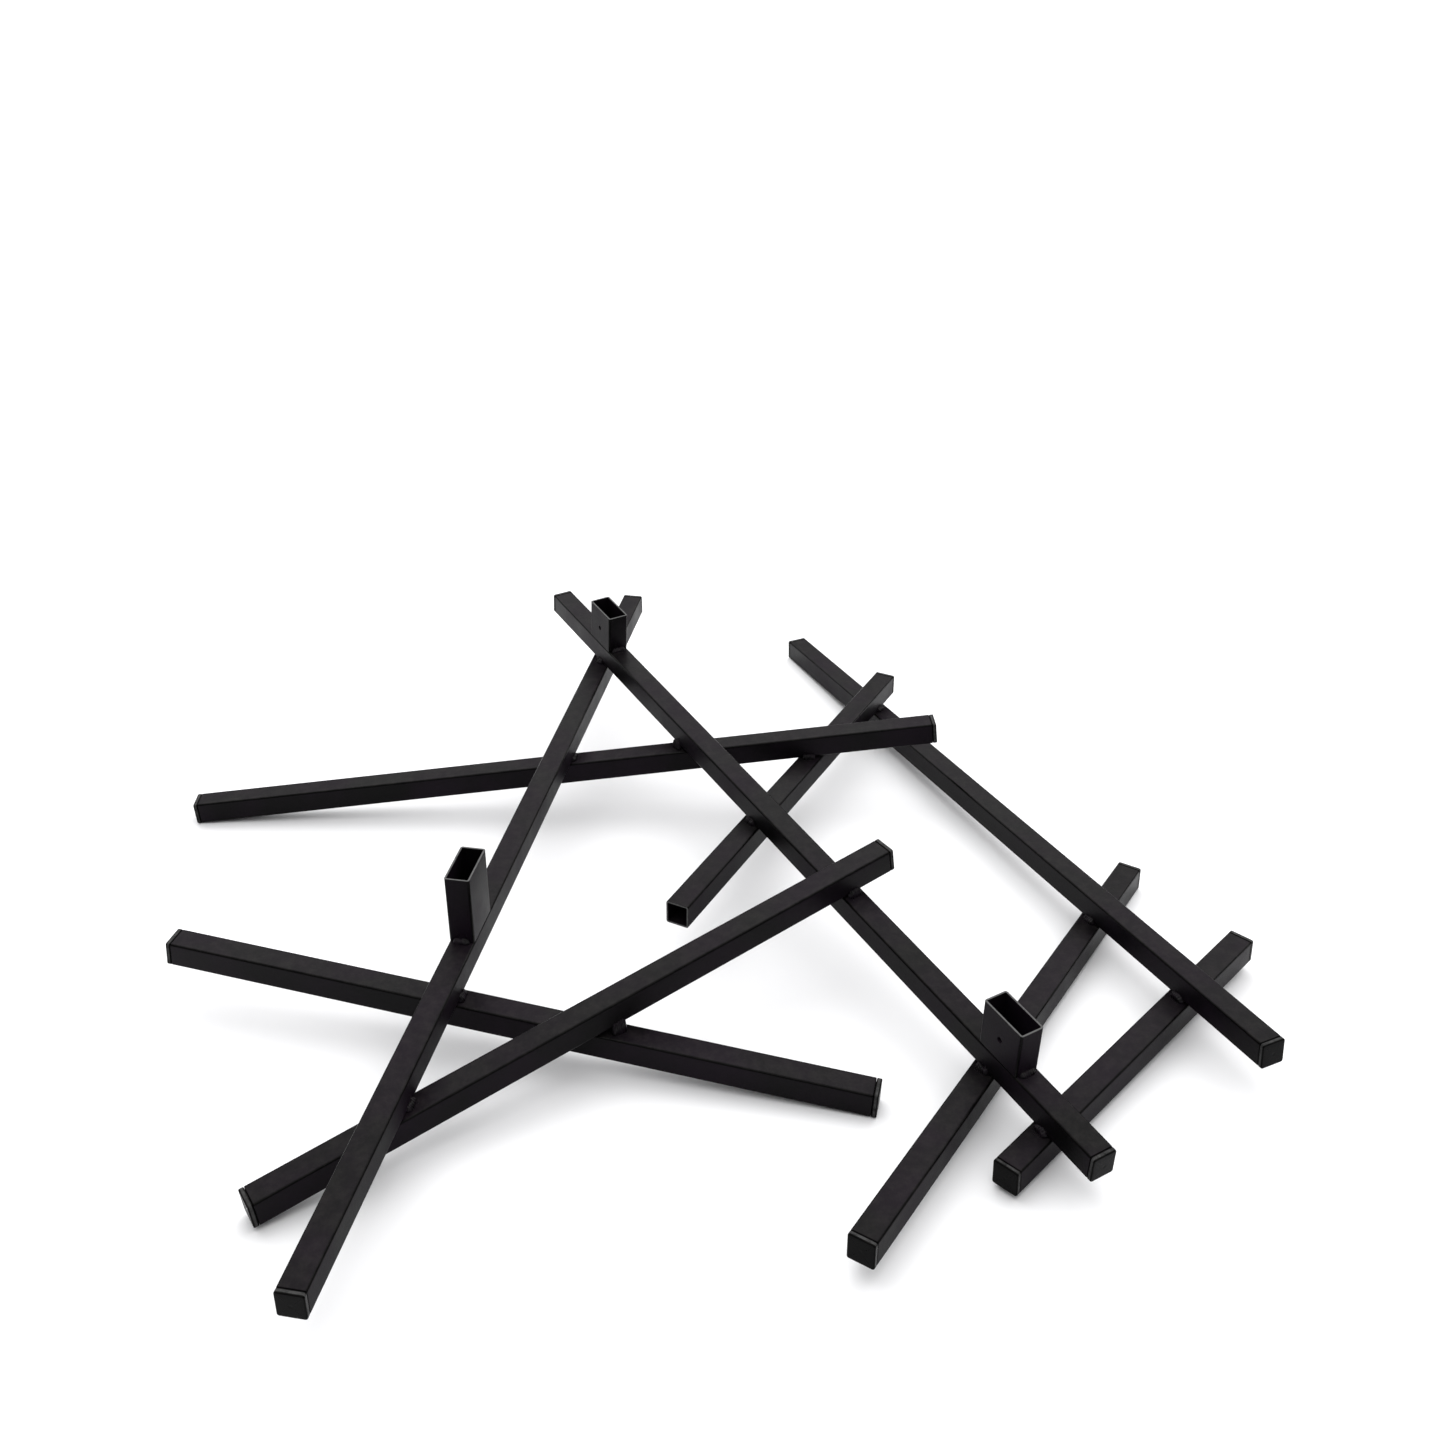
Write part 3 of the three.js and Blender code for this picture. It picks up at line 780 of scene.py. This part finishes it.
def weld_tree():
    """Geometry Nodes: a weld bead along Z in the corner between two faces, its foot on Y = 0 and
    its back on X = 0, rippled along its length, with beads of spatter on both faces."""
    tree = bpy.data.node_groups.new("weld_bead", "GeometryNodeTree")
    tree.interface.new_socket("Geometry", in_out="INPUT", socket_type="NodeSocketGeometry")
    socket_in(tree, "Length", "NodeSocketFloat", CROSSING_WELD)
    socket_in(tree, "Width", "NodeSocketFloat", WELD_LEG)
    socket_in(tree, "Height", "NodeSocketFloat", WELD_LEG)
    socket_in(tree, "Pitch", "NodeSocketFloat", WELD_PITCH)
    socket_in(tree, "Ripple", "NodeSocketFloat", 0.14)
    socket_in(tree, "Lumps", "NodeSocketFloat", 0.75)
    socket_in(tree, "Sink", "NodeSocketFloat", WELD_SINK)
    socket_in(tree, "Spatter Size", "NodeSocketFloat", SPATTER_SIZE)
    socket_in(tree, "Spatter Count", "NodeSocketInt", 7)
    socket_in(tree, "Seed", "NodeSocketInt", 0)
    tree.interface.new_socket("Material", in_out="INPUT", socket_type="NodeSocketMaterial")
    tree.interface.new_socket("Geometry", in_out="OUTPUT", socket_type="NodeSocketGeometry")
    given = tree.nodes.new("NodeGroupInput").outputs
    result = tree.nodes.new("NodeGroupOutput").inputs

    inputs = {"Segments": BEAD_STEPS[0], "Rings": BEAD_STEPS[1], "Radius": 1.0}
    ball = node(tree, "GeometryNodeMeshUVSphere", inputs).outputs[0]
    place = node(tree, "GeometryNodeInputPosition").outputs[0]
    split = node(tree, "ShaderNodeSeparateXYZ", {0: place}).outputs
    z = maths(tree, "MULTIPLY", split["Z"], maths(tree, "MULTIPLY", given["Length"], 0.5))

    # The ripples bow forwards in the middle of the bead, as a travelling pool leaves them.
    bow = maths(tree, "MULTIPLY", maths(tree, "MULTIPLY", split["X"], split["Y"]), WELD_BOW)
    travel = maths(tree, "SUBTRACT", maths(tree, "DIVIDE", z, given["Pitch"]), bow)
    wave = maths(tree, "ABSOLUTE", maths(tree, "SINE", maths(tree, "MULTIPLY", travel, math.pi)))
    ripple = maths(tree, "MULTIPLY", maths(tree, "SUBTRACT", wave, 0.6), given["Ripple"])
    seed = maths(tree, "MULTIPLY", given["Seed"], SEED_STRIDE)
    inputs = {"Vector": place, "W": seed, "Scale": 1.7, "Detail": 2.0}
    lump = node(tree, "ShaderNodeTexNoise", inputs, noise_dimensions="4D").outputs["Fac"]
    lump = maths(tree, "MULTIPLY", maths(tree, "SUBTRACT", lump, 0.5), given["Lumps"])
    swell = maths(tree, "ADD", maths(tree, "ADD", 1.0, ripple), lump)

    # Blunt ends: the width follows the root of 1 - z^6 where the ball's is the root of 1 - z^2.
    square = maths(tree, "MULTIPLY", split["Z"], split["Z"])
    blunt = maths(tree, "ADD", 1.0, maths(tree, "MULTIPLY_ADD", square, square, square))
    swell = maths(tree, "MULTIPLY", swell, maths(tree, "SQRT", blunt))

    wide = maths(tree, "MULTIPLY", maths(tree, "MULTIPLY", split["X"], given["Width"]), swell)
    high = maths(tree, "MULTIPLY", maths(tree, "MULTIPLY", split["Y"], given["Height"]), swell)
    wide = maths(tree, "MAXIMUM", wide, maths(tree, "MULTIPLY", given["Sink"], -1.0))
    high = maths(tree, "MAXIMUM", high, -WELD_FOOT)
    moved = node(tree, "ShaderNodeCombineXYZ", {"X": wide, "Y": high, "Z": z}).outputs[0]
    bead = node(tree, "GeometryNodeSetPosition", {"Geometry": ball, "Position": moved}).outputs[0]
    inputs = {"Geometry": bead, "Distance": WELD_MERGE}
    bead = node(tree, "GeometryNodeMergeByDistance", inputs).outputs[0]

    # Spatter: drops thrown onto the face below and the face behind the bead.
    inputs = {"Radius": given["Spatter Size"], "Subdivisions": 2}
    drop = node(tree, "GeometryNodeMeshIcoSphere", inputs).outputs[0]
    thrown = [bead]
    drops = node(tree, "GeometryNodePoints", {"Count": given["Spatter Count"]})
    for face, offset in SPATTER_SEEDS.items():
        seed = maths(tree, "ADD", given["Seed"], offset)

        def chance(low, high, draw, seed=seed):
            inputs = {"Seed": maths(tree, "ADD", seed, draw * DRAW_STRIDE)}
            made = node(tree, "FunctionNodeRandomValue", inputs)
            feed(tree, made.inputs[2], low)
            feed(tree, made.inputs[3], high)
            return made.outputs[1]

        along = chance(-SPATTER_ALONG, SPATTER_ALONG, 1)
        away = chance(*SPATTER_OUT, 2)
        edge = maths(tree, "MULTIPLY", given["Height"], 0.9)
        above = maths(tree, "ADD", edge, chance(0.0, SPATTER_UP, 3))
        axes = {"X": away, "Z": along} if face == "below" else {"Y": above, "Z": along}
        spot = node(tree, "ShaderNodeCombineXYZ", axes).outputs[0]
        inputs = {"Geometry": drops.outputs[0], "Position": spot}
        points = node(tree, "GeometryNodeSetPosition", inputs).outputs[0]
        inputs = {"Points": points, "Instance": drop, "Scale": chance(*SPATTER_SCALE, 4)}
        thrown.append(node(tree, "GeometryNodeInstanceOnPoints", inputs).outputs[0])
    whole = node(tree, "GeometryNodeJoinGeometry")
    for part in thrown:
        tree.links.new(part, whole.inputs[0])
    real = node(tree, "GeometryNodeRealizeInstances", {0: whole.outputs[0]}).outputs[0]
    inputs = {"Geometry": real, "Material": given["Material"]}
    feed(tree, result[0], node(tree, "GeometryNodeSetMaterial", inputs).outputs[0])
    return tree


def corner_lie(point, outward, upward):
    """A lie in the corner between two faces: X runs out over the lower face, Y up the other
    one, and Z along their joint. outward and upward are the faces' normals."""
    along = outward.cross(upward).normalized()
    out = upward.cross(along)
    out *= 1 if out.dot(outward) > 0 else -1
    rise = along.cross(outward)
    rise *= 1 if rise.dot(upward) > 0 else -1
    lie = Matrix((out, rise, along)).transposed().to_4x4()
    lie.translation = point
    return lie


bead_tree = weld_tree()


def add_weld(name, lie, seed, **sizes):
    """Makes the bead that stands for one weld; the seed gives it its own ripples and spatter."""
    mesh = grown(bead_tree, name, Seed=seed, Material=materials["weld"], **sizes)
    flip_if_inside_out(mesh)
    mesh.polygons.foreach_set("use_smooth", [True] * len(mesh.polygons))
    finish_piece(f"{name}_bead", mesh, lie, name, materials["weld"])


def add_crossing_weld(name, seed):
    """Makes the bead along the foot of the upper tube's front face, tall enough for the gap."""
    upper, lower = (tubes[f"{part}_tube"] for part in name.removeprefix("weld_").split("_on_"))
    half = upper["size"] / 2
    upper_middle = upper["lie"].translation
    lower_middle = lower["lie"].translation
    outward = axis_of(upper["lie"], 0)
    outward *= 1 if outward.y < 0 else -1
    upward = axis_of(lower["lie"], 1)
    across = axis_of(lower["lie"], 0)
    faces = Matrix((outward, upward, across))
    front = outward.dot(upper_middle) + half
    top = upward.dot(lower_middle) + half
    point = faces.inverted() @ Vector((front, top, across.dot(lower_middle)))
    under = axis_of(upper["lie"], 1)
    gap = under.dot(upper_middle - point) - half
    place = corner_lie(point, outward, upward)
    add_weld(name, place, seed, Length=CROSSING_WELD, Height=WELD_LEG + gap)


def add_socket_weld(name, tube, walls, seed):
    """Makes the bead at the foot of one of a socket's two short walls, whichever is nearer to the
    weld's own box. walls holds where the two walls are along the tube."""
    lie = tube["lie"]
    top = tube["size"] / 2
    low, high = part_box(name)
    middle = (Vector(low) + Vector(high)) / 2
    feet = [lie @ Vector((0, top, wall)) for wall in walls]
    far = (feet[1] - middle).length < (feet[0] - middle).length
    outward = axis_of(lie, 2) * (1 if far else -1)
    place = corner_lie(feet[1] if far else feet[0], outward, axis_of(lie, 1))
    add_weld(name, place, seed, Length=SOCKET_WELD, Height=WELD_LEG)


crossings = sorted(n for n in frame["nodes"] if n.startswith("weld_"))
for seed, name in enumerate(crossings):
    add_crossing_weld(name, seed)

SOCKET_SEED = 50  # seeds of the sockets' welds start here, past those of the crossings
for number, (name, (tube, low, high)) in enumerate(sockets.items()):
    for turn, label in enumerate(("back", "front")):
        seed = SOCKET_SEED + 2 * number + turn
        add_socket_weld(f"{name}_{label}_weld", tube, (low.z, high.z), seed)


# ------------------------------------------------------------------ floor, light and camera

FLOOR_HALF = 30.0
FLOOR_DROP = 0.2 * MM  # keeps the feet from lying in the floor's plane
FLOOR_TONE = (0.86, 0.86, 0.87, 1.0)


def add_floor():
    """A plain pale floor."""
    mesh = bpy.data.meshes.new("floor")
    corners = [(-1, -1), (1, -1), (1, 1), (-1, 1)]
    points = [(x * FLOOR_HALF, y * FLOOR_HALF, 0) for x, y in corners]
    mesh.from_pydata(points, [], [(0, 1, 2, 3)])
    floor = bpy.data.objects.new("floor", mesh)
    floor.location.z = -FLOOR_DROP
    bpy.context.scene.collection.objects.link(floor)
    material = bpy.data.materials.new("pale_floor")
    material.use_nodes = True
    shader = material.node_tree.nodes["Principled BSDF"]
    shader.inputs["Base Color"].default_value = FLOOR_TONE
    shader.inputs["Roughness"].default_value = 0.9
    shader.inputs["Specular IOR Level"].default_value = 0.1
    mesh.materials.append(material)


# Brightest light from each side of the studio, and the light that comes from everywhere.
OVERHEAD_LIGHT = 1.75
BEHIND_LIGHT = 2.4
RIGHT_LIGHT = 0.5
FRONT_LIGHT = 0.2
ROOM_LIGHT = 0.08


def add_room_light():
    """A studio lit from overhead, from behind the rack and from its right, with dark low walls."""
    world = bpy.data.worlds.new("studio")
    world.use_nodes = True
    tree = world.node_tree
    direction = node(tree, "ShaderNodeTexCoord").outputs["Generated"]
    split = node(tree, "ShaderNodeSeparateXYZ", {0: direction}).outputs
    above_walls = ramp(tree, split["Z"], 0.2, 0.46)
    overhead = ramp(tree, split["Z"], 0.45, 1.0, 0.0, OVERHEAD_LIGHT)
    behind = ramp(tree, split["Y"], -0.2, 0.8, 0.0, BEHIND_LIGHT)
    right = ramp(tree, split["X"], 0.0, 1.0, 0.0, RIGHT_LIGHT)
    sides = maths(tree, "MULTIPLY", maths(tree, "ADD", behind, right), above_walls)
    front = ramp(tree, split["Y"], -0.6, 0.0, FRONT_LIGHT, 0.0)
    low = maths(tree, "ADD", front, ROOM_LIGHT)
    total = maths(tree, "ADD", maths(tree, "ADD", overhead, sides), low)

    # The room itself shows as plain white behind the floor's far edge.
    seen = node(tree, "ShaderNodeLightPath").outputs["Is Camera Ray"]
    background = tree.nodes["Background"]
    background.inputs["Color"].default_value = (1.0, 1.0, 1.0, 1.0)
    feed(tree, background.inputs["Strength"], maths(tree, "MAXIMUM", total, seen))
    bpy.context.scene.world = world


CAMERA_PLACE = Vector((0.03689, -1.42845, 1.06963))
CAMERA_PITCH = 22.734  # degrees below level
CAMERA_ROLL = 0.384
CAMERA_LENS = 40.55  # for a 36 mm sensor
CAMERA_SHIFT = (0.004, -0.158)


def add_camera():
    """The camera, in front of the rack and looking down on it."""
    camera = bpy.data.objects.new("camera", bpy.data.cameras.new("camera"))
    camera.data.sensor_width = 36.0
    camera.data.lens = CAMERA_LENS
    camera.data.shift_x, camera.data.shift_y = CAMERA_SHIFT
    camera.location = CAMERA_PLACE
    pitch = Matrix.Rotation(math.radians(90 - CAMERA_PITCH), 4, "X")
    roll = Matrix.Rotation(math.radians(-CAMERA_ROLL), 4, "Z")
    camera.rotation_euler = (pitch @ roll).to_euler()
    camera.data.clip_end = 100.0
    bpy.context.scene.collection.objects.link(camera)
    bpy.context.scene.camera = camera


add_floor()
add_room_light()
add_camera()
bpy.context.scene.view_settings.view_transform = "Standard"
